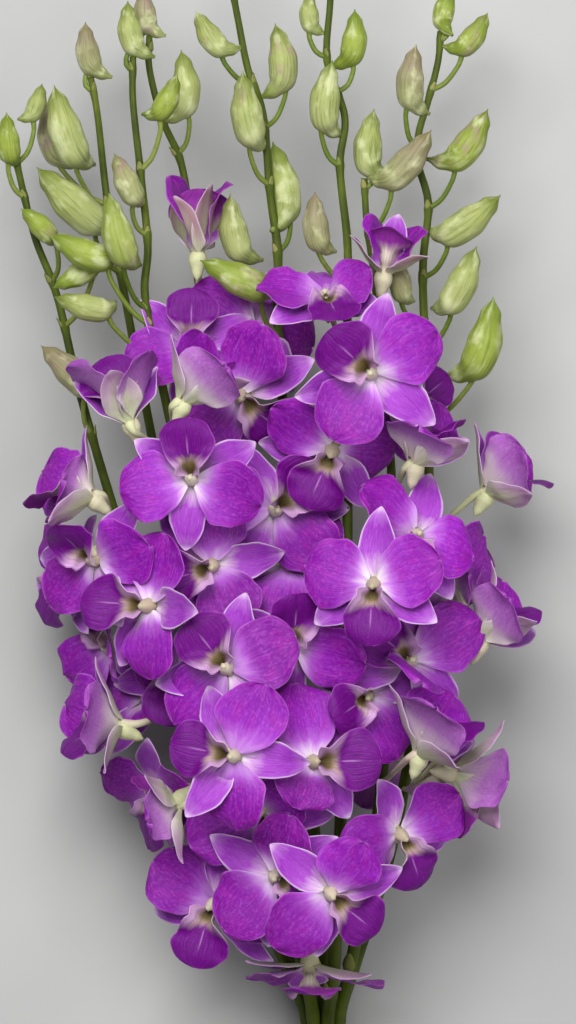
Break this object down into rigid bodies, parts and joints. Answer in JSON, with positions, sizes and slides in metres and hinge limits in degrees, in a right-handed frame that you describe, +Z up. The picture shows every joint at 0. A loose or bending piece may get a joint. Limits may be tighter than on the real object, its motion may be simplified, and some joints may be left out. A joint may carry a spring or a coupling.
{
  "type": "dendrobium orchid bunch",
  "caption": "Cut bunch of purple dendrobium orchid sprays held by a tie, open flowers in a dense head below tapering green buds, with bare stems beneath.",
  "frame": {"origin": "flat spot on the underside of the tie, which lies on the surface", "axes": "+Y along the stems from the cut ends to the bud tips, +X across the bunch to the right seen from above, +Z up from the surface it lies on"},
  "size_m": [0.2244, 0.6141, 0.1309],
  "materials": {
    "petal": "satin purple petals with fine veins, paler at the base, white-green stalks",
    "stem": "smooth green stems and lime-green buds",
    "tie": "natural straw-coloured fibre wound round the stems"
  },
  "bodies": {
    "root": {"spray_far_left": "stem", "spray_left": "stem", "spray_left_front": "stem", "spray_left_back": "stem", "spray_middle": "stem", "spray_right_front": "stem", "spray_right": "stem", "spray_far_right": "stem", "bloom_01": "petal", "bloom_02": "petal", "bloom_03": "petal", "bloom_04": "petal", "bloom_05": "petal", "bloom_06": "petal", "bloom_07": "petal", "bloom_08": "petal", "bloom_09": "petal", "bloom_10": "petal", "bloom_11": "petal", "bloom_12": "petal", "bloom_13": "petal", "bloom_14": "petal", "bloom_15": "petal", "bloom_16": "petal", "bloom_17": "petal", "bloom_18": "petal", "bloom_19": "petal", "bloom_20": "petal", "bloom_21": "petal", "bloom_22": "petal", "bloom_23": "petal", "bloom_24": "petal", "bloom_25": "petal", "bloom_26": "petal", "bloom_27": "petal", "bloom_28": "petal", "bloom_29": "petal", "bloom_30": "petal", "bloom_31": "petal", "bloom_32": "petal", "bloom_33": "petal", "bloom_34": "petal", "bloom_35": "petal", "bloom_36": "petal", "bloom_37": "petal", "bloom_38": "petal", "bloom_39": "petal", "bloom_40": "petal", "bloom_41": "petal", "bloom_42": "petal", "bloom_43": "petal", "bloom_44": "petal", "bloom_45": "petal", "bloom_46": "petal", "bloom_47": "petal", "bloom_48": "petal", "bloom_49": "petal", "tie": "tie"}
  },
  "joints": []
}
